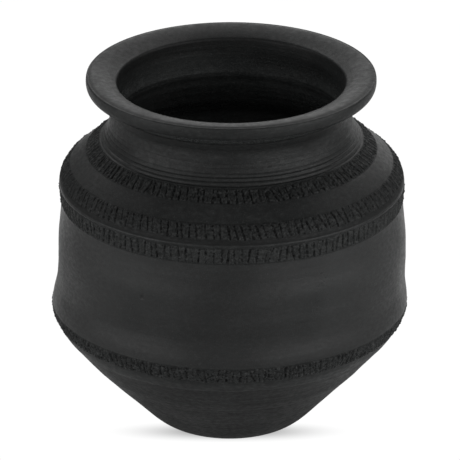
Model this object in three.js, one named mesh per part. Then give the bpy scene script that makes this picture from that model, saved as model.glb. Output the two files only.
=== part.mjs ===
// A hand-thrown black clay pot with a flared rim, a waisted neck, a ridged shoulder,
// a straight belly, impressed clay strips and a cone-shaped lower wall.
//
// The pot is built as a potter builds it: thrown wall sections stacked on a floor disc,
// with an applied strip pressed into a rebate over each joint between two sections.
// Millimetres, +Z up, origin at the centre of the foot.

import * as THREE from "three";

// Driving sizes
const FOOT_RADIUS = 46;
const FOOT_CURVE = { radius: 52.5, height: 1.5 };
const FOOT_EDGE = { radius: 59, height: 9 };
const CONE_TOP = { radius: 97, height: 48 };
const CONE_CURVE = { radius: 108.5, height: 61 };
const WIDEST = { radius: 124.5, height: 88 };
const SHOULDER_RIDGE = { radius: 120.4, height: 177 };
const NECK_WAIST = { radius: 83.5, height: 230 };
const RIM = { radius: 100.8, height: 257, thickness: 9 };
const MOUTH = { radius: 79.3, height: 249.8 };
const BORE = { top: 78.4, bottom: 77.6, rolled: 77, rollHeight: 225.6, openHeight: 222 };
const WALL = 7;
const FLOOR = { thickness: 9, dish: 0.8, dishWidth: 8 };

// Applied strips, each from its lower edge to its upper edge
const LOWER_STRIP = { bottom: 76, top: 88.5 };
const UNDER_RIDGE_STRIP = { bottom: 164, top: 176.5 };
const RIDGE_COIL = { bottom: 176.5, top: 182 };
const SHOULDER_STRIP = { bottom: 182, top: 191.8 };
const NECK_STRIP = { bottom: 201.3, top: 209.4 };
const STRIP_DEPTH = 2.6;
const STRIP_PROUD = 0.5;
const STRIP_EASE = 0.8;

// The ridge coil's face, as heights above its lower edge and offsets from the wall
const RIDGE_CREST = { rise: 0.5, proud: 1 };
const RIDGE_HOLLOW = { start: 1.8, end: 3.6, depth: 0.3 };

// Joints between the thrown sections
const FLOOR_JOINT = 14;
const BELLY_JOINT = 84;
const SHOULDER_JOINT = 170;
const NECK_JOINT = 205.5;
const RIM_JOINT = 238;

const SEAM = 0.3;
const TURN_SEGMENTS = 48;
const OUTLINE_SAMPLES = 600;
const SLOPE_REACH = 1.5;
const REBATE_STEPS = 2;
const STRIP_STEPS = 4;
const WALL_STEPS = 4;
const FOOT_STEPS = 5;
const NECK_STEPS = 5;
const RIM_STEPS = 4;

// The outer outline of the bare wall, from the foot up to the underside of the rim.
// x is the radius and y is the height.
function wallOutline() {
  const at = (radius, height) => new THREE.Vector2(radius, height);
  const path = new THREE.Path();
  path.moveTo(FOOT_RADIUS, 0);
  path.quadraticCurveTo(FOOT_CURVE.radius, FOOT_CURVE.height, FOOT_EDGE.radius,
    FOOT_EDGE.height);
  path.lineTo(CONE_TOP.radius, CONE_TOP.height);
  path.bezierCurveTo(CONE_CURVE.radius, CONE_CURVE.height, WIDEST.radius - 1, 74.5,
    WIDEST.radius, WIDEST.height);
  path.splineThru([at(124, 93.5), at(122, 106), at(121.6, 124), at(120, 152),
    at(119.8, 165), at(SHOULDER_RIDGE.radius, SHOULDER_RIDGE.height)]);
  path.splineThru([at(119.3, 182), at(112.7, 191.8), at(101.6, 201.3), at(92, 209.4),
    at(86, 219), at(NECK_WAIST.radius, NECK_WAIST.height), at(85, RIM_JOINT)]);
  return path.getSpacedPoints(OUTLINE_SAMPLES);
}

const OUTLINE = wallOutline();

// The radius of the outline at one height.
function outlineRadius(height) {
  const found = OUTLINE.findIndex((point) => point.y >= height);
  const next = found < 0 ? OUTLINE.length - 1 : Math.max(found, 1);
  const upper = OUTLINE[next];
  const lower = OUTLINE[next - 1];
  return THREE.MathUtils.mapLinear(height, lower.y, upper.y, lower.x, upper.x);
}

// The place on the outline at one height, moved inwards, square to the wall.
function skinPoint(height, inset) {
  const below = Math.max(height - SLOPE_REACH, 0);
  const above = Math.min(height + SLOPE_REACH, RIM_JOINT);
  const along = new THREE.Vector2(outlineRadius(above) - outlineRadius(below), above - below);
  const inwards = new THREE.Vector2(-along.y, along.x).normalize();
  return new THREE.Vector2(outlineRadius(height), height).addScaledVector(inwards, inset);
}

// A run of points up the wall between two heights, at one inset.
function skin(bottom, top, inset, steps) {
  return Array.from({ length: steps + 1 }, (_, i) => {
    return skinPoint(THREE.MathUtils.lerp(bottom, top, i / steps), inset);
  });
}

// A closed ring turned about +Z from a profile of (radius, height) points,
// given anticlockwise: up the outside and down the inside.
function turned(points) {
  const closed = [...points, points[0].clone()];
  const geometry = new THREE.LatheGeometry(closed, TURN_SEGMENTS);
  geometry.rotateX(Math.PI / 2);
  return geometry;
}

// A thrown wall section. Where a strip crosses it, its outside is cut back to a rebate.
function wallSection(bottom, top, rebates, steps) {
  const low = bottom + SEAM / 2;
  const high = top - SEAM / 2;
  const outside = [];
  let height = low;
  for (const rebate of rebates) {
    const start = Math.max(rebate.bottom - SEAM, low);
    const end = Math.min(rebate.top + SEAM, high);
    if (start > height) {
      outside.push(...skin(height, start, 0, steps));
    }
    outside.push(...skin(start, end, STRIP_DEPTH + SEAM, REBATE_STEPS));
    height = end;
  }
  if (height < high) {
    outside.push(...skin(height, high, 0, steps));
  }
  const inside = skin(low, high, WALL, steps).reverse();
  return turned([...outside, ...inside]);
}

// A flat strip of clay pressed into its rebate, with its two outer corners eased.
function appliedStrip(strip) {
  const back = skin(strip.bottom, strip.top, STRIP_DEPTH, STRIP_STEPS).reverse();
  return turned([
    skinPoint(strip.bottom, 0),
    ...skin(strip.bottom + STRIP_EASE, strip.top - STRIP_EASE, -STRIP_PROUD, REBATE_STEPS),
    skinPoint(strip.top, 0),
    ...back,
  ]);
}

// The thin coil of the ridge: a sharp crest low down and a hollow above it.
function ridgeCoil() {
  const bottom = RIDGE_COIL.bottom + SEAM;
  const top = RIDGE_COIL.top - SEAM;
  return turned([
    skinPoint(bottom, -STRIP_PROUD),
    skinPoint(bottom + RIDGE_CREST.rise, -RIDGE_CREST.proud),
    skinPoint(bottom + RIDGE_HOLLOW.start, RIDGE_HOLLOW.depth),
    skinPoint(bottom + RIDGE_HOLLOW.end, RIDGE_HOLLOW.depth),
    skinPoint(top, 0),
    ...skin(bottom, top, STRIP_DEPTH, 1).reverse(),
  ]);
}

// The floor: a slightly dished disc with the rolled foot edge.
function floorDisc() {
  const high = FLOOR_JOINT - SEAM / 2;
  const edge = skin(0, high, 0, FOOT_STEPS);
  const inner = skinPoint(high, WALL);
  const profile = [
    new THREE.Vector2(0, 0),
    ...edge,
    inner,
    new THREE.Vector2(inner.x - FLOOR.dishWidth, FLOOR.thickness + FLOOR.dish),
    new THREE.Vector2(0, FLOOR.thickness),
  ];
  const geometry = new THREE.LatheGeometry(profile, TURN_SEGMENTS);
  geometry.rotateX(Math.PI / 2);
  return geometry;
}

// The everted rim: a thick flange with a rolled lip, a face that steepens towards the
// mouth, a crisp inner edge and a nearly straight bore.
function rimFlange() {
  const low = RIM_JOINT + SEAM / 2;
  const start = skinPoint(low, 0);
  const lipLow = RIM.height - RIM.thickness;
  const lipHigh = RIM.height - RIM.thickness / 2;
  const outline = new THREE.Path();
  outline.moveTo(start.x, low);
  outline.bezierCurveTo(start.x + 2.6, low + 4.2, RIM.radius - 8, lipLow - 3.4,
    RIM.radius - 2.6, lipLow - 1.4);
  outline.quadraticCurveTo(RIM.radius, lipLow, RIM.radius, lipHigh);
  outline.quadraticCurveTo(RIM.radius, RIM.height, RIM.radius - 4, RIM.height);
  outline.quadraticCurveTo(RIM.radius - 12.5, RIM.height - 0.3, MOUTH.radius + 1.3,
    MOUTH.height + 2.9);
  outline.quadraticCurveTo(MOUTH.radius, MOUTH.height + 2.2, MOUTH.radius, MOUTH.height);
  outline.lineTo(BORE.top, low);
  return turned(outline.getPoints(RIM_STEPS));
}

// The neck: its outside follows the outline, and its bore is nearly straight down to a
// rolled foot, where it opens into the shoulder.
function neckCollar() {
  const low = NECK_JOINT + SEAM / 2;
  const high = RIM_JOINT - SEAM / 2;
  const rebateTop = NECK_STRIP.top + SEAM;
  return turned([
    ...skin(low, rebateTop, STRIP_DEPTH + SEAM, 1),
    ...skin(rebateTop, high, 0, NECK_STEPS),
    new THREE.Vector2(BORE.top, high),
    new THREE.Vector2(BORE.bottom, NECK_WAIST.height - 1),
    new THREE.Vector2(BORE.rolled, BORE.rollHeight),
    ...skin(low, BORE.openHeight - WALL / 2, WALL, REBATE_STEPS).reverse(),
  ]);
}

const black = (roughness, shade) => new THREE.MeshStandardMaterial({
  color: new THREE.Color(shade, shade * 1.02, shade * 1.02),
  roughness,
  metalness: 0,
});

const thrownClay = black(0.72, 0.028);
const impressedClay = black(0.85, 0.022);

const pot = new THREE.Group();
pot.name = "black_clay_pot";

function addPiece(name, geometry, clay) {
  const piece = new THREE.Mesh(geometry, clay.clone());
  piece.name = name;
  pot.add(piece);
}

addPiece("floor_disc", floorDisc(), thrownClay);
addPiece("lower_wall", wallSection(FLOOR_JOINT, BELLY_JOINT, [LOWER_STRIP], WALL_STEPS),
  thrownClay);
addPiece("belly_wall", wallSection(BELLY_JOINT, SHOULDER_JOINT,
  [LOWER_STRIP, { bottom: UNDER_RIDGE_STRIP.bottom, top: SHOULDER_JOINT }], WALL_STEPS),
  thrownClay);
addPiece("shoulder_wall", wallSection(SHOULDER_JOINT, NECK_JOINT,
  [{ bottom: SHOULDER_JOINT, top: SHOULDER_STRIP.top }, NECK_STRIP], WALL_STEPS - 1),
  thrownClay);
addPiece("neck_collar", neckCollar(), thrownClay);
addPiece("rim_flange", rimFlange(), thrownClay);
addPiece("lower_strip", appliedStrip(LOWER_STRIP), impressedClay);
addPiece("under_ridge_strip", appliedStrip(UNDER_RIDGE_STRIP), impressedClay);
addPiece("ridge_coil", ridgeCoil(), thrownClay);
addPiece("shoulder_strip", appliedStrip(SHOULDER_STRIP), impressedClay);
addPiece("neck_strip", appliedStrip(NECK_STRIP), impressedClay);

export default pot;
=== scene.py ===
"""Looks for the black clay pot: fine turned walls, impressed strips, matte smoke-fired clay.

Every piece is cut from one outer skin and one inner skin. The skins follow the pot's
outlines, and hand-made marks (turning lines, grooves, dashes, pits) move them in or out.
Neighbouring pieces share the skin where they meet, so the fired joints stay closed.
Outlines and marks are in millimetres. Meshes, lights and the camera are in metres.
"""
import math

import bpy
import numpy as np
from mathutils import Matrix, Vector


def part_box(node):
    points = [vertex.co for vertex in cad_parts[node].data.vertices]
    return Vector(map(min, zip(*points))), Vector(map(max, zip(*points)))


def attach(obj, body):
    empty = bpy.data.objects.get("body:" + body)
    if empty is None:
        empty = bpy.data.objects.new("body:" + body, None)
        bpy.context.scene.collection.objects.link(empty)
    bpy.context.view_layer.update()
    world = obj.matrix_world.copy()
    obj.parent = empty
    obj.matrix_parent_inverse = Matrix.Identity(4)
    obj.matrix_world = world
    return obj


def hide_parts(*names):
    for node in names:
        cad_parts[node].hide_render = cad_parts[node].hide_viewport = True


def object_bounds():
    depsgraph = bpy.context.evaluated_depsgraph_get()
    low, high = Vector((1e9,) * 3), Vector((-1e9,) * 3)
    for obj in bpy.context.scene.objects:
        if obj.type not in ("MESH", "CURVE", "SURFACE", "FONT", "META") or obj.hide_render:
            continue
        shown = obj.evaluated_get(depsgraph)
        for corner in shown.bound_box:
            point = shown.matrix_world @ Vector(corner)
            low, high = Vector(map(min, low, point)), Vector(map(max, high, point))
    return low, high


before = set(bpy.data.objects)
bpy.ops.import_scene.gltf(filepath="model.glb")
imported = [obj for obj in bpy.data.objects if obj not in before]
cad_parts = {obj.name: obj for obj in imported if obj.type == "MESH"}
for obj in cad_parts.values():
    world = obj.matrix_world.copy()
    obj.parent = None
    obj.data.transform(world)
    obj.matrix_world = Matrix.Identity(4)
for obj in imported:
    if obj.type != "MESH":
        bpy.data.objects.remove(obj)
cad_low, cad_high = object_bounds()

MM = 0.001
TURN = 2 * math.pi
STRIP_AROUND = 1800
WALL_AROUND = 900
COARSEN = 1.0
OUTLINE_STEP = 0.1


# ------------------------------------------------------------ sizes, in mm
def heights(node):
    """Lowest and highest z of a CAD node."""
    low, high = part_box(node)
    return low.z / MM, high.z / MM


def radius_of(node):
    """Largest radius of a CAD node."""
    low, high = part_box(node)
    return (high.x - low.x) / 2 / MM


TOP = cad_high.z / MM
WIDEST = radius_of("lower_strip")
RIM = radius_of("rim_flange")
RIDGE_ROUNDING = 0.5
RIDGE = radius_of("ridge_coil") - RIDGE_ROUNDING
RIM_JOINT = heights("rim_flange")[0]
LOWER_STRIP = heights("lower_strip")
UNDER_STRIP = heights("under_ridge_strip")
RIDGE_COIL = (UNDER_STRIP[1], 182.0)
SHOULDER_STRIP = (RIDGE_COIL[1], 191.8)
NECK_STRIP = (201.3, 209.4)
FLOOR_JOINT = 14.0
BELLY_JOINT = 84.0
SHOULDER_JOINT = 170.0
NECK_JOINT = 205.5
RIM_THICKNESS = 9
LIP_LOW = TOP - RIM_THICKNESS
WALL = 7.0
FLOOR = 9.0
FOOT = 46.0
WAIST = 83.5
UNDER_RIM = 85.0
MOUTH = 79.3
BORE_TOP = MOUTH - 0.9
BORE = 77.6
MOUTH_CREST = (MOUTH + 1.3, TOP - 4.3)
MOUTH_FOOT = (MOUTH, TOP - 7.2)
STRIP_DEPTH = 2.6
SEAM = 0.3
REBATE = STRIP_DEPTH + SEAM
# The rings stop this far from the axis, where a cap closes them
CAP_RADIUS = 0.5
CAP_GAP = 0.3
# Length of the rim's face, where the outside has stopped rising
RIM_FACE = 20


# ------------------------------------------------------------ the outlines
def line(a, b):
    return np.linspace(a, b, 40)


def bend(*points):
    """A Bezier curve of three or four (radius, height) points."""
    t = np.linspace(0, 1, 80)[:, None]
    level = [np.array(p, float) * np.ones_like(t) for p in points]
    while len(level) > 1:
        level = [a * (1 - t) + b * t for a, b in zip(level, level[1:])]
    return level[0]


def through(*points):
    """A Catmull-Rom curve through (radius, height) points."""
    p = np.array(points, float)
    p = np.vstack([2 * p[0] - p[1], p, 2 * p[-1] - p[-2]])
    t = np.linspace(0, 1, 30, endpoint=False)[:, None]
    runs = []
    for a, b, c, d in zip(p, p[1:], p[2:], p[3:]):
        cubic = 2 * b + (c - a) * t + (2 * a - 5 * b + 4 * c - d) * t**2
        runs.append((cubic + (3 * b - a - 3 * c + d) * t**3) / 2)
    runs.append(p[-2:-1])
    return np.vstack(runs)


def joined(*curves):
    """One curve from several, resampled at even steps along its length."""
    p = np.vstack(curves)
    keep = np.r_[True, np.linalg.norm(np.diff(p, axis=0), axis=1) > 1e-6]
    p = p[keep]
    along = np.r_[0, np.cumsum(np.linalg.norm(np.diff(p, axis=0), axis=1))]
    even = np.arange(0, along[-1], OUTLINE_STEP)
    return np.column_stack([np.interp(even, along, p[:, i]) for i in (0, 1)])


class Skin:
    """A turned surface: its outline, and the normal on the outline's right-hand side."""

    REACH = 4

    def __init__(self, outline):
        self.outline = outline
        slope = np.gradient(outline, axis=0)
        size = 2 * self.REACH + 1
        window = np.ones(size) / size
        padded = [np.pad(slope[:, i], self.REACH, "edge") for i in (0, 1)]
        slope = np.column_stack([np.convolve(p, window, "valid") for p in padded])
        slope /= np.linalg.norm(slope, axis=1)[:, None]
        self.normal = np.column_stack([slope[:, 1], -slope[:, 0]])
        self.length = len(outline) * OUTLINE_STEP

    def near(self, radius, height):
        """How far along the outline its nearest point to (radius, height) is."""
        gap = np.hypot(self.outline[:, 0] - radius, self.outline[:, 1] - height)
        return int(np.argmin(gap)) * OUTLINE_STEP

    def at(self, along):
        """Radius, height and normal at places along the outline."""
        i = np.asarray(along) / OUTLINE_STEP
        k = np.arange(len(self.outline))
        return [np.interp(i, k, column) for column in (*self.outline.T, *self.normal.T)]


def lower_outline():
    """Under the foot, up the cone and the belly to the strip under the ridge."""
    return [
        line((0, 0), (FOOT, 0)),
        bend((FOOT, 0), (51.8, 1.3), (59.5, 8.9)),
        line((59.5, 8.9), (97.4, 47.6)),
        bend((97.4, 47.6), (108.4, 61), (WIDEST - 1.7, 75), (WIDEST - 0.4, 88)),
        through((WIDEST - 0.4, 88), (124, 93.5), (122, 106), (121.7, 124), (121.5, 138),
                (120.3, 151), (119.3, 165), (RIDGE - 0.7, UNDER_STRIP[1])),
    ]


def upper_outline():
    """Over the ridge's crest, then the shoulder and the neck up to the rim."""
    crest = UNDER_STRIP[1] + 0.9
    above = (RIDGE - 0.6, UNDER_STRIP[1] + 1.9)
    return [
        bend((RIDGE - 0.7, UNDER_STRIP[1]), (RIDGE - 0.1, crest), above),
        through(above, (RIDGE - 0.7, 180.3), (119.4, 182.5), (116.7, 187), (112.6, 191.8),
                (101.7, 201.3), (92, 209.4), (86, 219), (WAIST, 230), (UNDER_RIM, RIM_JOINT)),
    ]


def rim_outline():
    """Under the lip, round it, over the rim's face and down into the mouth."""
    under = (RIM - 2.6, LIP_LOW - 1.4)
    side = (RIM + 0.1, LIP_LOW + 4)
    corner = (RIM - 0.9, TOP - 0.5)
    scratch = (RIM - 1.5, TOP - 0.8)
    face = (RIM - 4.5, TOP - 0.1)
    return [
        bend((UNDER_RIM, RIM_JOINT), (87.6, RIM_JOINT + 4.2), (RIM - 8, LIP_LOW - 3.4), under),
        bend(under, (RIM - 0.2, LIP_LOW + 0.2), side),
        bend(side, (RIM + 0.1, TOP - 0.6), corner),
        line(corner, scratch),
        bend(scratch, (RIM - 3.0, TOP - 0.1), face),
        bend(face, (RIM - 12.5, TOP - 0.3), MOUTH_CREST),
        bend(MOUTH_CREST, (MOUTH, TOP - 5), MOUTH_FOOT),
        line(MOUTH_FOOT, (BORE_TOP, RIM_JOINT)),
    ]


def inner_outline():
    """Down the bore, round its rolled foot, down inside the wall and over the floor."""
    return [
        line((BORE_TOP, RIM_JOINT), (BORE, 229)),
        through((BORE, 229), (77.3, 227.3), (77.0, 225.6), (78.2, 222), (81, 214.4),
                (92.2, 200.3), (103.2, 190.7), (110.5, 183.4), (113.2, 175), (112.8, 160),
                (112.9, 150), (114.6, 124), (115.1, 106), (117.4, 94), (117.6, 86),
                (114.6, 79.7), (109.7, 72.8), (100.8, 62.6), (92, 52.9)),
        line((92, 52.9), (60.5, 20.7)),
        bend((60.5, 20.7), (50.5, 9.8), (40, FLOOR + 0.3)),
        line((40, FLOOR + 0.3), (CAP_RADIUS, FLOOR)),
    ]


outer = Skin(joined(*lower_outline(), *upper_outline(), *rim_outline()))
inner = Skin(joined(*inner_outline()))
MOUTH_EDGE = outer.near(*MOUTH_CREST)


def on_wall(height):
    """How far along the outer skin the outside of the wall reaches a height."""
    end = int(MOUTH_EDGE / OUTLINE_STEP) - int(RIM_FACE / OUTLINE_STEP)
    return float(np.interp(height, outer.outline[:end, 1], np.arange(end) * OUTLINE_STEP))


# ------------------------------------------------------------ hand-made irregularity
# How far up the noise reaches
TALLEST = 320


def smooth(t):
    t = np.clip(t, 0, 1)
    return t * t * (3 - 2 * t)


def patchy(seed, turn, height, around, cell):
    """Noise from -1 to 1 that closes round the pot: cells around it, and cell mm high."""
    rng = np.random.default_rng(seed)
    rows = int(TALLEST / cell) + 4
    grid = rng.uniform(-1, 1, (rows, around))
    u = np.mod(turn / TURN, 1) * around
    v = np.clip(height / cell + 1, 0, rows - 2)
    i, j = np.floor(v).astype(int), np.floor(u).astype(int)
    a, b = smooth(v - i), smooth(u - j)
    j0, j1 = j % around, (j + 1) % around
    low = grid[i, j0] * (1 - b) + grid[i, j1] * b
    high = grid[i + 1, j0] * (1 - b) + grid[i + 1, j1] * b
    return low * (1 - a) + high * a


def patchy_ring(seed, turn, around):
    """The same noise, but changing only round the pot."""
    return patchy(seed, turn, 0 * turn, around, 100)


# How far the axis stands off centre, along X, at some heights
LEAN = [(0, -0.8), (15, -1.2), (34, -2.0), (55, -2.0), (70, -1.6), (88, -0.8), (106, 0.2),
        (120, 0.9), (160, 0.9), (180, 0.6), (215, 0.3), (230, -0.3), (250, 0.2)]


def lean(height):
    return np.interp(height, *zip(*LEAN))


def sway(turn, height):
    """The slow unevenness of a hand-turned wall, outwards, fading out at the foot."""
    two_lobes = 0.2 * np.sin(2 * turn) * np.cos(height / 50)
    three_lobes = 0.18 * np.cos(3 * turn) * np.sin(height / 70)
    return (two_lobes + three_lobes) * smooth(height / 25)


def turning_lines(turn, height, seed):
    """Long low ridges, about 1 high, left by fingers and rib as the wall turned."""
    return patchy(seed, turn, height, 5, 6.5) + 0.6 * patchy(seed + 1, turn, height, 9, 2.8)


def scored(turn, height, level, depth, width, seed):
    """A groove turned into the wall with a pointed tool, with a faint raised edge."""
    wander = 0.25 * patchy_ring(seed, turn, 9)
    press = 0.75 + 0.35 * patchy_ring(seed + 1, turn, 12)
    x = (height - level - wander) / width
    raised_edge = 0.3 * np.exp(-((np.abs(x) - 1.5) ** 2) * 2)
    return press * depth * (raised_edge - np.exp(-x * x))


class Strip:
    """An impressed strip: short upright gouges struck side by side round the pot.

    Each gouge is struck in a few bites, one above another. Ragged is from 0 for a clean,
    regular strip to 1 for a crumbling one.
    """

    BITES = 4
    EDGE_CELLS = 420
    EDGE_FADE = 0.7
    USUAL_RADIUS = 120
    # Seed step, width, height and amount of each size of crumb
    CRUMBS = [(1, 2.4, 1.8, 0.16), (2, 1.1, 0.9, 0.3), (3, 0.85, 0.7, 0.26), (4, 0.95, 3.2, 0.14)]

    def __init__(self, bottom, top, count, seed, depth, ragged, slant, proud):
        self.start, self.end = on_wall(bottom), on_wall(top)
        self.span = self.end - self.start
        self.count, self.seed, self.ragged, self.proud = count, seed, ragged, proud
        rng = np.random.default_rng(seed)
        size = (self.BITES, count)
        self.shift = rng.normal(0, 0.08 + 0.06 * ragged, count)
        self.kick = rng.normal(0, 0.06 + 0.16 * ragged, size)
        strength = rng.uniform(0.6, 1.2, count)
        self.depth = depth * strength * rng.uniform(1 - 0.8 * ragged, 1.15, size)
        self.width = rng.uniform(0.5, 1.05, size)
        self.slant = slant + rng.normal(0, 0.06 + 0.08 * ragged, count)
        self.level = rng.normal(0, 0.03 + 0.04 * ragged, size)
        self.lip = rng.uniform(0.1, 0.5, size)

    def fade(self, turn, along):
        """One on the strip's face, falling to nothing at its uneven edges."""
        uneven = 0.35 + 0.6 * self.ragged
        low_edge = uneven * (1 + patchy_ring(self.seed + 5, turn, self.EDGE_CELLS))
        high_edge = uneven * (1 + patchy_ring(self.seed + 6, turn, self.EDGE_CELLS))
        rise = smooth((along - self.start - low_edge) / self.EDGE_FADE)
        return rise * smooth((self.end - along - high_edge) / self.EDGE_FADE)

    def bitten(self, bite, i, across, v):
        """Depth of one bite of gouge i, and the height of the burr beside it."""
        level = (bite + 0.55) / (self.BITES + 0.1) + self.level[bite, i]
        x = np.abs(across - self.kick[bite, i]) / self.width[bite, i]
        window = 1 - smooth(np.abs(v - level) * self.BITES * 1.45 - 0.35)
        depth = self.depth[bite, i] * window * (1 - smooth(x / 1.5))
        burr = self.lip[bite, i] * (window * np.exp(-((x - 1.6) ** 2) * 5))
        return depth, burr

    def struck(self, turn, along, radius):
        """Burrs less gouges, from each place's own gouge and the two beside it."""
        v = (along - self.start) / self.span
        pitch = TURN * radius / self.count
        phase = np.mod(turn / TURN, 1) * self.count
        nearest = np.floor(phase).astype(int)
        cut = np.zeros_like(phase)
        burr = np.zeros_like(phase)
        for step in (-1, 0, 1):
            i = (nearest + step) % self.count
            centre = nearest + step + 0.5 + self.shift[i]
            across = (phase - centre) * pitch - self.slant[i] * (v - 0.5) * self.span
            for bite in range(self.BITES):
                depth, edge = self.bitten(bite, i, across, v)
                cut = np.maximum(cut, depth)
                burr = np.maximum(burr, edge)
        return burr - cut

    def crumbs(self, turn, height):
        """Torn, gritty roughness over the whole strip."""
        rough = 0
        for step, width, tall, amount in self.CRUMBS:
            cells = int(TURN * self.USUAL_RADIUS / width)
            rough = rough + amount * patchy(self.seed + step, turn, height, cells, tall)
        return rough * (0.6 + 0.7 * self.ragged)

    def relief(self, turn, along, radius, height):
        """How far the strip's face stands off the bare wall."""
        face = self.proud + self.struck(turn, along, radius) + self.crumbs(turn, height)
        return self.fade(turn, along) * face


STRIPS = {
    "lower_strip": Strip(*LOWER_STRIP, count=170, seed=11, depth=0.6, ragged=1.0,
                         slant=-0.10, proud=0.22),
    "under_ridge_strip": Strip(*UNDER_STRIP, count=150, seed=22, depth=0.8, ragged=0.5,
                               slant=0.05, proud=0.35),
    "shoulder_strip": Strip(*SHOULDER_STRIP, count=140, seed=33, depth=0.85, ragged=0.4,
                            slant=-0.18, proud=0.22),
    "neck_strip": Strip(*NECK_STRIP, count=114, seed=44, depth=0.8, ragged=0.5,
                        slant=-0.12, proud=0.22),
}

# Grooves scored above the neck strip: height, depth and width
NECK_GROOVES = [(210.5, 0.62, 0.55), (212.8, 0.42, 0.42), (215.2, 0.46, 0.45),
                (217.7, 0.28, 0.4), (220.8, 0.18, 0.4), (224.0, 0.12, 0.5)]
# The groove scored inside, just above the rolled foot of the bore
BORE_GROOVE = (227.2, 0.35, 0.9)

# A pit and four scratches: azimuth in degrees, height, half length, half width and depth
MARKS = [
    (-30.6, 133.6, 1.3, 1.0, 0.45),
    (-22.4, 119.4, 5.0, 0.6, 0.16),
    (-21.8, 117.4, 3.6, 0.6, 0.14),
    (23.5, 117.7, 3.2, 0.7, 0.16),
    (20.6, 41.4, 9.5, 0.7, 0.18),
]

# The turned edge under the lower strip: the wall above it stands a little proud
FACET_HEIGHT = 67.2
FACET = 0.35

# How far turning lines stand on the wall, how much further on the neck, and inside
WALL_LINES = 0.045
NECK_EXTRA = 0.05
INSIDE_LINES = 0.12
# The faint pebbling of the outside
ORANGE_PEEL = 0.02
# How much of the wall's own relief is left under a strip
SHARE_ON_STRIPS = 0.35
# Seeds of the noises
WALL_SEED = 7
PEEL_SEED = 9
NECK_SEED = 60
INSIDE_SEED = 70
BORE_SEED = 81


def off_centre(turn, azimuth):
    """Angle from a place round the pot, in degrees, from -180 to 180."""
    return (np.degrees(turn) - azimuth + 180) % 360 - 180


def marks(turn, radius, height):
    relief = np.zeros_like(height)
    for azimuth, level, half_length, half_width, depth in MARKS:
        across = np.radians(off_centre(turn, azimuth)) * radius / half_length
        up = (height - level) / half_width
        relief = relief - depth * np.exp(-across**4 - up * up)
    return relief


def wall_relief(turn, radius, height):
    """Turning lines, a faint orange peel, marks and the grooves of the neck."""
    amount = WALL_LINES + NECK_EXTRA * smooth((height - NECK_JOINT + 0.5) / 8)
    relief = turning_lines(turn, height, WALL_SEED) * amount
    relief = relief + ORANGE_PEEL * patchy(PEEL_SEED, turn, height, 260, 2.2)
    relief = relief + marks(turn, radius, height)
    for k, groove in enumerate(NECK_GROOVES):
        relief = relief + scored(turn, height, *groove, NECK_SEED + 3 * k)
    return relief


def facet(height):
    """The wall's step outwards below the lower strip, fading out under the strip."""
    above = smooth((height - FACET_HEIGHT) / 0.8)
    return FACET * above * smooth((LOWER_STRIP[0] + 2 - height) / 6)


def inner_relief(turn, along, radius, height):
    """Turning lines on the inside, deeper than outside."""
    relief = INSIDE_LINES * turning_lines(turn, height, INSIDE_SEED)
    return relief + scored(turn, height, *BORE_GROOVE, BORE_SEED)


def outer_relief(turn, along, radius, height):
    """How far the finished outside stands off the smooth outline."""
    beyond = along > MOUTH_EDGE
    relief = np.where(beyond, inner_relief(turn, along, radius, height),
                      wall_relief(turn, radius, height))
    struck = np.zeros_like(relief)
    for strip in STRIPS.values():
        on_strip = (along >= strip.start) & (along <= strip.end)
        if on_strip.any():
            relief = np.where(on_strip, SHARE_ON_STRIPS * relief, relief)
            struck = np.where(on_strip, strip.relief(turn, along, radius, height), struck)
    return struck + relief + facet(height)


# ------------------------------------------------------------ paleness of the clay, with painted light and shade
# Paleness up the pot, as (height, paleness), where 1 is plain clay. The lower strip and the strip
# under the ridge are paler, most at their edges. The coil's crest has a painted highlight, the
# coil's hollow and the waist have painted shade, and the lip's underside has painted light, the
# palest.
OUTSIDE_TONES_AND_PAINTED_LIGHT = [
    (LOWER_STRIP[0] - 0.1, 0.95), (LOWER_STRIP[0] + 0.1, 1.6), (LOWER_STRIP[0] + 1.2, 1.4),
    (LOWER_STRIP[1] - 1.3, 1.4), (LOWER_STRIP[1] - 0.1, 1.6), (LOWER_STRIP[1] + 0.1, 1),
    (UNDER_STRIP[0] - 0.1, 1), (UNDER_STRIP[0] + 0.1, 1.6), (UNDER_STRIP[0] + 1.2, 1.3),
    (UNDER_STRIP[1] - 0.3, 1.3), (UNDER_STRIP[1] + 0.5, 1.5), (UNDER_STRIP[1] + 1.9, 1.5),
    (RIDGE_COIL[1] - 2.8, 0.66), (RIDGE_COIL[1] - 0.2, 0.66), (RIDGE_COIL[1] + 0.6, 1),
    (222, 1), (227, 0.85), (234, 0.85), (239, 1), (241, 3), (246.5, 3), (LIP_LOW, 1),
]
# Painted light and shade inside, as (height, paleness): the deep inside is painted much paler,
# the bore paler just above its groove, and darker towards its top.
INSIDE_PAINTED_LIGHT = [(150, 4), (215, 3), (222, 1.2), (226.5, 1.4), (228, 2.2), (234, 1.9),
                (242, 1.0), (250, 0.8)]
# Painted highlights and painted shade on the belly and the waist: azimuth in degrees, height,
# reach in degrees, reach in mm, change of paleness
PAINTED_LIGHT_PATCHES = [
    (-10, 122, 16, 30, -0.20),
    (10, 122, 14, 30, -0.12),
    (32, 130, 9, 26, 0.30),
    (-34, 132, 10, 20, 0.10),
    (-38, 96, 20, 10, -0.45),
    (38, 96, 20, 10, -0.45),
    (-68, 130, 16, 60, -0.35),
    (66, 125, 14, 55, -0.22),
    (40, 231, 13, 7, -0.35),
]


def inner_painted_light(turn, along, height):
    return np.interp(height, *zip(*INSIDE_PAINTED_LIGHT))


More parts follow.
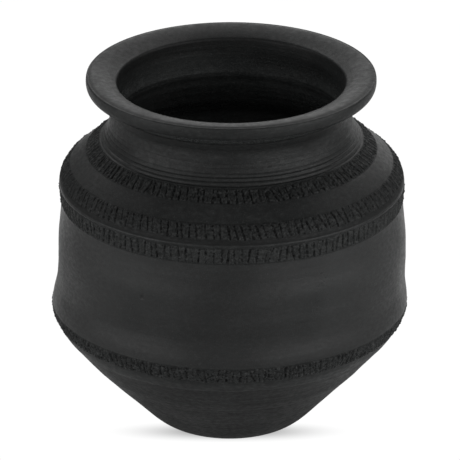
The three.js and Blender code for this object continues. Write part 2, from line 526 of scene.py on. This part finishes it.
def outer_tone_and_painted_light(turn, along, height):
    """How pale the clay is painted, from 1 for plain clay, painted highlights and shade included.
    """
    tone_and_painted_light = np.interp(height, *zip(*OUTSIDE_TONES_AND_PAINTED_LIGHT))
    for azimuth, level, reach, rise, change in PAINTED_LIGHT_PATCHES:
        across, up = off_centre(turn, azimuth) / reach, (height - level) / rise
        tone_and_painted_light = tone_and_painted_light + change * np.exp(-across * across - up * up)
    return np.where(along > MOUTH_EDGE, inner_painted_light(turn, along, height), tone_and_painted_light)


# ------------------------------------------------------------ meshes
def placed(turn, radius, height):
    """Points in metres from turn angle, radius and height in mm, with sway and lean."""
    radius = radius + sway(turn, height) * smooth(radius / 20)
    x = radius * np.sin(turn) + lean(height)
    y = -radius * np.cos(turn)
    return np.stack([x, y, height + 0 * turn], -1) * MM


def spread(skin, start, end, count, around):
    """Turn, place along the skin, radius, height and normal at every point of some rings."""
    along = np.linspace(start, end, count)
    grids = [v[:, None] * np.ones(around) for v in (along, *skin.at(along))]
    turn = np.arange(around)[None] * TURN / around + 0 * grids[0]
    return turn, *grids


def skin_rows(skin, relief, tone_and_painted_light, start, end, row, around):
    """Rings of points on a finished skin, with the relief, paleness and painted light at each."""
    count = max(int(abs(end - start) / (row * COARSEN)), 2) + 1
    turn, along, radius, height, out_r, out_z = spread(skin, start, end, count, around)
    lift = relief(turn, along, radius, height)
    points = placed(turn, radius + out_r * lift, height + out_z * lift)
    return points, lift, tone_and_painted_light(turn, along, height)


def outside(start, end, row, around=WALL_AROUND):
    return skin_rows(outer, outer_relief, outer_tone_and_painted_light, start, end, row, around)


def inside(start, end, row, around=WALL_AROUND):
    return skin_rows(inner, inner_relief, inner_painted_light, start, end, row, around)


def buried(start, end, inset, count, around=WALL_AROUND):
    """Rings of points at one depth under the outer skin."""
    turn, _, radius, height, out_r, out_z = spread(outer, start, end, count, around)
    points = placed(turn, radius - out_r * inset, height - out_z * inset)
    return points, np.zeros_like(turn), np.ones_like(turn)


def ring_quads(rows, around, closed):
    """Quads between neighbouring rings, and from the last ring to the first if closed."""
    row = np.arange(rows if closed else rows - 1)[:, None]
    column = np.arange(around)[None]
    beside = (column + 1) % around
    low, high = row * around, (row + 1) % rows * around
    corners = [low + column, low + beside, high + beside, high + column]
    return np.stack(corners, -1).reshape(-1, 4)


def capped(vertices, rows, around):
    """The vertices with a centre for the first and the last ring, and the caps' triangles."""
    centres, fans = [], []
    for edge, flip in ((0, True), (rows - 1, False)):
        ring = edge * around + np.arange(around)
        pair = [np.roll(ring, -1), ring] if flip else [ring, np.roll(ring, -1)]
        fans.append(np.stack([*pair, np.full(around, len(vertices) + len(centres))], -1))
        centres.append(vertices[ring].mean(0))
    return np.vstack([vertices, centres]), np.concatenate(fans)


def filled_mesh(name, vertices, quads, triangles):
    """A smooth-shaded mesh from arrays of corners."""
    mesh = bpy.data.meshes.new(name)
    loops = np.concatenate([quads.reshape(-1), triangles.reshape(-1)]).astype(np.int32)
    totals = np.repeat([4, 3], [len(quads), len(triangles)]).astype(np.int32)
    mesh.vertices.add(len(vertices))
    mesh.vertices.foreach_set("co", vertices.reshape(-1))
    mesh.loops.add(len(loops))
    mesh.loops.foreach_set("vertex_index", loops)
    mesh.polygons.add(len(totals))
    mesh.polygons.foreach_set("loop_start", (np.cumsum(totals) - totals).astype(np.int32))
    mesh.polygons.foreach_set("loop_total", totals)
    mesh.update(calc_edges=True)
    mesh.polygons.foreach_set("use_smooth", np.ones(len(totals), bool))
    return mesh


def mark_sharp(mesh, lengths, around):
    """Make the rings sharp where one run of rings meets the next."""
    corners = np.cumsum([0, *lengths])
    corner_rows = [*corners[:-1], *(corners[1:] - 1)]
    ends = np.empty(len(mesh.edges) * 2, np.int32)
    mesh.edges.foreach_get("vertices", ends)
    rows = ends.reshape(-1, 2) // around
    sharp = (rows[:, 0] == rows[:, 1]) & np.isin(rows[:, 0], corner_rows)
    mesh.attributes.new("sharp_edge", "BOOLEAN", "EDGE").data.foreach_set("value", sharp)


def turned_solid(name, runs, closed=True):
    """A solid from runs of rings, keeping each point's relief, paleness and painted light."""
    points, lift, tone_and_painted_light = (np.concatenate(part) for part in zip(*runs))
    rows, around = points.shape[:2]
    vertices, triangles = points.reshape(-1, 3), np.empty((0, 3), int)
    lift, tone_and_painted_light = lift.reshape(-1), tone_and_painted_light.reshape(-1)
    if not closed:
        vertices, triangles = capped(vertices, rows, around)
        lift, tone_and_painted_light = np.append(lift, [0, 0]), np.append(tone_and_painted_light, [1, 1])
    mesh = filled_mesh(name, vertices, ring_quads(rows, around, closed), triangles)
    mark_sharp(mesh, [len(run[0]) for run in runs], around)
    for title, values in (("relief", lift), ("tone_and_painted_light", tone_and_painted_light)):
        attribute = mesh.attributes.new(title, "FLOAT", "POINT")
        attribute.data.foreach_set("value", values.astype(np.float32))
    mesh.validate()
    return mesh


# ------------------------------------------------------------ materials
class Graph:
    """The nodes of one material, by short names."""

    def __init__(self, material):
        material.use_nodes = True
        self.nodes, self.links = material.node_tree.nodes, material.node_tree.links
        self.shader = self.nodes["Principled BSDF"]
        self.place = self.nodes.new("ShaderNodeTexCoord").outputs["Object"]

    def noise(self, scale, stretch, detail):
        mapping = self.nodes.new("ShaderNodeMapping")
        mapping.inputs["Scale"].default_value = stretch
        texture = self.nodes.new("ShaderNodeTexNoise")
        texture.inputs["Scale"].default_value = scale
        texture.inputs["Detail"].default_value = detail
        self.links.new(self.place, mapping.inputs["Vector"])
        self.links.new(mapping.outputs["Vector"], texture.inputs["Vector"])
        return texture.outputs["Fac"]

    def attribute(self, name):
        node = self.nodes.new("ShaderNodeAttribute")
        node.attribute_name = name
        return node.outputs["Fac"]

    def ranged(self, source, low, high, to_low, to_high):
        remap = self.nodes.new("ShaderNodeMapRange")
        remap.inputs["From Min"].default_value = low
        remap.inputs["From Max"].default_value = high
        remap.inputs["To Min"].default_value = to_low
        remap.inputs["To Max"].default_value = to_high
        self.links.new(source, remap.inputs["Value"])
        return remap.outputs["Result"]

    def shaded(self, under, over, source, low, high, most):
        """Cover one colour with another, up to a share, as the source goes low to high."""
        mix = self.nodes.new("ShaderNodeMix")
        mix.data_type = "RGBA"
        self.links.new(self.ranged(source, low, high, 0, most), mix.inputs["Factor"])
        mix.inputs["B"].default_value = (*over, 1)
        if isinstance(under, tuple):
            mix.inputs["A"].default_value = (*under, 1)
        else:
            self.links.new(under, mix.inputs["A"])
        return mix.outputs["Result"]

    def added(self, a, b):
        plus = self.nodes.new("ShaderNodeMath")
        plus.operation = "ADD"
        self.links.new(a, plus.inputs[0])
        self.links.new(b, plus.inputs[1])
        return plus.outputs["Value"]

    def scaled(self, colour, amount):
        product = self.nodes.new("ShaderNodeVectorMath")
        product.operation = "SCALE"
        self.links.new(colour, product.inputs[0])
        self.links.new(amount, product.inputs["Scale"])
        return product.outputs["Vector"]

    def bump(self, height, strength, depth):
        node = self.nodes.new("ShaderNodeBump")
        node.inputs["Strength"].default_value = strength
        node.inputs["Distance"].default_value = depth * MM
        self.links.new(height, node.inputs["Height"])
        return node


def times(colour, amount):
    return tuple(c * amount for c in colour)


def clay_textures(graph, grain):
    """The noises that every clay shares, and the relief, paleness and painted light kept on the
    mesh.
    """
    return {
        "clouds": graph.noise(scale=28, stretch=(1, 1, 0.8), detail=6),
        "streaks": graph.noise(scale=22, stretch=(0.35, 0.35, 14), detail=4),
        "lines": graph.noise(scale=60, stretch=(0.12, 0.12, 12), detail=3),
        "scuffs": graph.noise(scale=280, stretch=(1, 1, 1.8), detail=3),
        "specks": graph.noise(scale=900, stretch=(1, 1, 1), detail=2),
        "grains": graph.noise(scale=grain, stretch=(1, 1, 1), detail=3),
        "relief": graph.attribute("relief"),
        "tone_and_painted_light": graph.attribute("tone_and_painted_light"),
    }


def clay_colour(graph, seen, base, pale, lined):
    """Cloudy black, painted shade in the gouges, paler on raised crumbs, scuffs and grains."""
    colour = graph.shaded(base, pale, seen["clouds"], 0.35, 0.68, 1)
    colour = graph.shaded(colour, pale, seen["streaks"], 0.42, 0.72, 0.6 * lined)
    colour = graph.shaded(colour, times(pale, 1.5), seen["scuffs"], 0.52, 0.7, 0.8)
    colour = graph.shaded(colour, times(base, 0.6), seen["scuffs"], 0.48, 0.3, 0.6)
    # Painted shade: the colour darkens as the surface sinks, most in the gouges and grooves.
    colour = graph.shaded(colour, times(base, 0.2), seen["relief"], 0.3, -0.2, 0.9)
    colour = graph.shaded(colour, times(pale, 1.8), seen["relief"], 0.65, 1.1, 0.45)
    colour = graph.shaded(colour, times(pale, 1.6), seen["grains"], 0.5, 0.75, 0.45)
    colour = graph.shaded(colour, times(pale, 2.2), seen["specks"], 0.66, 0.74, 0.5)
    # Scaled by the paleness kept on the mesh, which carries the painted highlights and painted
    # shade.
    return graph.scaled(colour, seen["tone_and_painted_light"])


def clay_roughness(graph, seen, roughness, lined, mottle):
    """Duller in the pale clouds and where painted dark, shinier on scuffs and where painted pale.
    """
    wear = graph.ranged(seen["clouds"], 0.3, 0.7, roughness - mottle, roughness + mottle)
    wear = graph.added(wear, graph.ranged(seen["streaks"], 0.3, 0.7, -0.04 * lined, 0.04 * lined))
    wear = graph.added(wear, graph.ranged(seen["scuffs"], 0.3, 0.7, 0.07, -0.07))
    return graph.added(wear, graph.ranged(seen["tone_and_painted_light"], 0.5, 1.5, 0.14, -0.14))


def clay_bump(graph, seen, lined):
    """Fine grain with faint turning lines over it."""
    fine = graph.bump(seen["grains"], 0.5, 0.16)
    lines = graph.bump(seen["lines"], 0.6 * lined, 0.3)
    graph.links.new(fine.outputs["Normal"], lines.inputs["Normal"])
    return lines.outputs["Normal"]


def clay(name, base, pale, roughness, specular=0.1, lined=0.7, mottle=0.06, grain=1400):
    """Matte smoke-fired clay.

    Lined is how strong its turning streaks are, mottle is how much the roughness changes
    with the clouds, and grain is the scale of the finest noise.
    """
    material = bpy.data.materials.new(name)
    graph = Graph(material)
    seen = clay_textures(graph, grain)
    shader = graph.shader.inputs
    shader["Specular IOR Level"].default_value = specular
    graph.links.new(clay_colour(graph, seen, base, pale, lined), shader["Base Color"])
    graph.links.new(clay_roughness(graph, seen, roughness, lined, mottle), shader["Roughness"])
    graph.links.new(clay_bump(graph, seen, lined), shader["Normal"])
    return material


def thrown_clay():
    return clay("thrown_clay", (0.0105, 0.0112, 0.0112), (0.0165, 0.0172, 0.0170), 0.44)


def rubbed_clay():
    return clay("rubbed_clay", (0.0085, 0.0092, 0.0092), (0.0140, 0.0147, 0.0146), 0.38,
                specular=0.2, lined=0.2, mottle=0.08)


def burnished_clay():
    return clay("burnished_clay", (0.0095, 0.0100, 0.0100), (0.0140, 0.0146, 0.0146), 0.46,
                specular=0.08, lined=0.4)


def impressed_clay():
    return clay("impressed_clay", (0.0072, 0.0077, 0.0077), (0.0115, 0.0120, 0.0119), 0.56,
                specular=0.08, grain=1100)


# ------------------------------------------------------------ the pieces
def add_piece(name, runs, material, closed=True):
    mesh = turned_solid(name + "_shape", runs, closed)
    mesh.materials.append(material)
    piece = bpy.data.objects.new(name + "_shape", mesh)
    bpy.context.scene.collection.objects.link(piece)
    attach(piece, "root")
    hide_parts(name)


def inside_at(height):
    """How far along the inner skin a joint at this outside height reaches it."""
    radius, level, out_r, out_z = outer.at(on_wall(height))
    return inner.near(radius - out_r * WALL, level - out_z * WALL)


def add_floor_disc(material):
    add_piece("floor_disc", [
        outside(CAP_RADIUS, on_wall(FLOOR_JOINT), row=1.2),
        inside(inside_at(FLOOR_JOINT), inner.length - CAP_GAP, row=1.5),
    ], material, closed=False)


def add_lower_wall(material):
    add_piece("lower_wall", [
        outside(on_wall(FLOOR_JOINT), on_wall(LOWER_STRIP[0]), row=1.1),
        buried(on_wall(LOWER_STRIP[0]), on_wall(BELLY_JOINT), REBATE, count=5),
        inside(inside_at(BELLY_JOINT), inside_at(FLOOR_JOINT), row=5),
    ], material)


def add_belly_wall(material):
    add_piece("belly_wall", [
        buried(on_wall(BELLY_JOINT), on_wall(LOWER_STRIP[1]), REBATE, count=5),
        outside(on_wall(LOWER_STRIP[1]), on_wall(UNDER_STRIP[0]), row=0.95),
        buried(on_wall(UNDER_STRIP[0]), on_wall(SHOULDER_JOINT), REBATE, count=4),
        inside(inside_at(SHOULDER_JOINT), inside_at(BELLY_JOINT), row=4),
    ], material)


def add_shoulder_wall(material):
    add_piece("shoulder_wall", [
        buried(on_wall(SHOULDER_JOINT), on_wall(SHOULDER_STRIP[1]), REBATE, count=12),
        outside(on_wall(SHOULDER_STRIP[1]), on_wall(NECK_STRIP[0]), row=0.5),
        buried(on_wall(NECK_STRIP[0]), on_wall(NECK_JOINT), REBATE, count=3),
        inside(inside_at(NECK_JOINT), inside_at(SHOULDER_JOINT), row=2),
    ], material)


def add_neck_collar(material):
    add_piece("neck_collar", [
        buried(on_wall(NECK_JOINT), on_wall(NECK_STRIP[1]), REBATE, count=3),
        outside(on_wall(NECK_STRIP[1]), on_wall(RIM_JOINT), row=0.45),
        inside(0, inside_at(NECK_JOINT), row=1.4),
    ], material)


def add_rim_flange(material):
    end = outer.length - OUTLINE_STEP
    add_piece("rim_flange", [outside(on_wall(RIM_JOINT), end, row=0.65)], material)


def add_strip(name, strip, material):
    add_piece(name, [
        outside(strip.start, strip.end, row=0.4, around=STRIP_AROUND),
        buried(strip.end, strip.start, STRIP_DEPTH, count=5, around=STRIP_AROUND),
    ], material)


def add_ridge_coil(material):
    low, high = on_wall(RIDGE_COIL[0]), on_wall(RIDGE_COIL[1])
    add_piece("ridge_coil", [
        outside(low, high, row=0.25, around=STRIP_AROUND),
        buried(high, low, STRIP_DEPTH, count=3, around=STRIP_AROUND),
    ], material)


def add_pot():
    thrown = thrown_clay()
    impressed = impressed_clay()
    add_floor_disc(thrown)
    add_lower_wall(thrown)
    add_belly_wall(rubbed_clay())
    add_shoulder_wall(thrown)
    add_neck_collar(thrown)
    add_rim_flange(thrown)
    for name, strip in STRIPS.items():
        add_strip(name, strip, impressed)
    add_ridge_coil(burnished_clay())


# ------------------------------------------------------------ studio, in metres
ELEVATION = math.radians(23.1)
IMAGE = 460
FOCAL = 6515 / IMAGE
SENSOR = 36
AIM = Vector((-0.0006, 0, 0.1393))
DISTANCE = 4.562
GROUND_RADIUS = 3.0
GROUND_DROP = 0.0003
SHADOW_CENTRE = (-0.002, -0.034, 0)
SHADOW_REACH = (0.0965, 0.0218, 1)
BOUNCE = 0.6
AMBIENT = 0.3
LIGHT_AIM = Vector((0, 0, 0.13))
LIGHT_DISTANCE = 1.6
LIGHT_SIZE = (0.7, 1.0)
# Soft boxes: name, azimuth and elevation in degrees, and power in watts
SOFTBOXES = [
    ("left", -80, 12, 8),
    ("left_front", -55, 12, 9),
    ("front_left", -30, 12, 4),
    ("front_right", 30, 12, 7),
    ("right_front", 55, 12, 11),
    ("right", 80, 12, 9),
    ("right_back", 150, 12, 2),
    ("back", 180, 15, 3),
    ("high_back", 180, 48, 3),
    ("high_back_left", -140, 45, 8),
    ("high_back_right", 140, 45, 8),
    ("high_front", 0, 30, 3),
]


def add_camera():
    data = bpy.data.cameras.new("camera")
    data.sensor_width = SENSOR
    data.lens = SENSOR * FOCAL
    data.clip_start, data.clip_end = 0.1, 40
    camera = bpy.data.objects.new("camera", data)
    back = Vector((0, -math.cos(ELEVATION), math.sin(ELEVATION)))
    camera.location = AIM + back * DISTANCE
    camera.rotation_euler = (math.pi / 2 - ELEVATION, 0, 0)
    bpy.context.scene.collection.objects.link(camera)
    bpy.context.scene.camera = camera


def seen_or_lit(tree, seen, lit, output):
    """Send one shader to the camera and another to the light that bounces about."""
    path = tree.nodes.new("ShaderNodeLightPath")
    mix = tree.nodes.new("ShaderNodeMixShader")
    tree.links.new(path.outputs["Is Camera Ray"], mix.inputs["Fac"])
    tree.links.new(lit.outputs[0], mix.inputs[1])
    tree.links.new(seen.outputs[0], mix.inputs[2])
    tree.links.new(mix.outputs["Shader"], output.inputs["Surface"])


def soft_shadow(tree):
    """Brightness of the floor: one soft shadow, wide and shallow, in front of the foot."""
    place = tree.nodes.new("ShaderNodeTexCoord")
    mapping = tree.nodes.new("ShaderNodeMapping")
    mapping.vector_type = "TEXTURE"
    mapping.inputs["Location"].default_value = SHADOW_CENTRE
    mapping.inputs["Scale"].default_value = SHADOW_REACH
    distance = tree.nodes.new("ShaderNodeVectorMath")
    distance.operation = "LENGTH"
    level = tree.nodes.new("ShaderNodeMapRange")
    level.interpolation_type = "SMOOTHERSTEP"
    level.inputs["From Min"].default_value = -0.25
    level.inputs["From Max"].default_value = 1.05
    level.inputs["To Min"].default_value = 0.15
    level.inputs["To Max"].default_value = 1.02
    tree.links.new(place.outputs["Object"], mapping.inputs["Vector"])
    tree.links.new(mapping.outputs["Vector"], distance.inputs[0])
    tree.links.new(distance.outputs["Value"], level.inputs["Value"])
    return level.outputs["Result"]


def floor_material():
    """White to the camera, apart from the shadow, and a plain pale floor to the light."""
    material = bpy.data.materials.new("pale_floor")
    material.use_nodes = True
    tree = material.node_tree
    tree.nodes.remove(tree.nodes["Principled BSDF"])
    seen = tree.nodes.new("ShaderNodeEmission")
    tree.links.new(soft_shadow(tree), seen.inputs["Strength"])
    lit = tree.nodes.new("ShaderNodeBsdfDiffuse")
    lit.inputs["Color"].default_value = (BOUNCE, BOUNCE, BOUNCE, 1)
    seen_or_lit(tree, seen, lit, tree.nodes["Material Output"])
    return material


def add_floor():
    bpy.ops.mesh.primitive_circle_add(vertices=96, radius=GROUND_RADIUS, fill_type="NGON")
    ground = bpy.context.object
    ground.name = "studio_floor"
    ground.location.z = -GROUND_DROP
    ground.data.materials.append(floor_material())


def add_softbox(name, azimuth, elevation, power):
    """A soft light that faces the pot from the given direction, in degrees."""
    data = bpy.data.lights.new(name, "AREA")
    data.shape, data.energy = "RECTANGLE", power
    data.size, data.size_y = LIGHT_SIZE
    light = bpy.data.objects.new(name, data)
    turn, up = math.radians(azimuth), math.radians(elevation)
    away = Vector((math.cos(up) * math.sin(turn), -math.cos(up) * math.cos(turn), math.sin(up)))
    light.location = LIGHT_AIM + away * LIGHT_DISTANCE
    light.rotation_euler = away.to_track_quat("Z", "Y").to_euler()
    light.visible_camera = False
    bpy.context.scene.collection.objects.link(light)


def add_world():
    """White to the camera, and a dim even light to the pot."""
    world = bpy.data.worlds.new("studio")
    world.use_nodes = True
    bpy.context.scene.world = world
    nodes = world.node_tree.nodes
    seen = nodes["Background"]
    seen.inputs["Color"].default_value = (1, 1, 1, 1)
    lit = nodes.new("ShaderNodeBackground")
    lit.inputs["Strength"].default_value = AMBIENT
    seen_or_lit(world.node_tree, seen, lit, nodes["World Output"])


def add_studio():
    add_camera()
    add_floor()
    add_world()
    for softbox in SOFTBOXES:
        add_softbox(*softbox)
    bpy.context.scene.view_settings.view_transform = "Standard"
    bpy.context.scene.view_settings.look = "None"


add_pot()
add_studio()
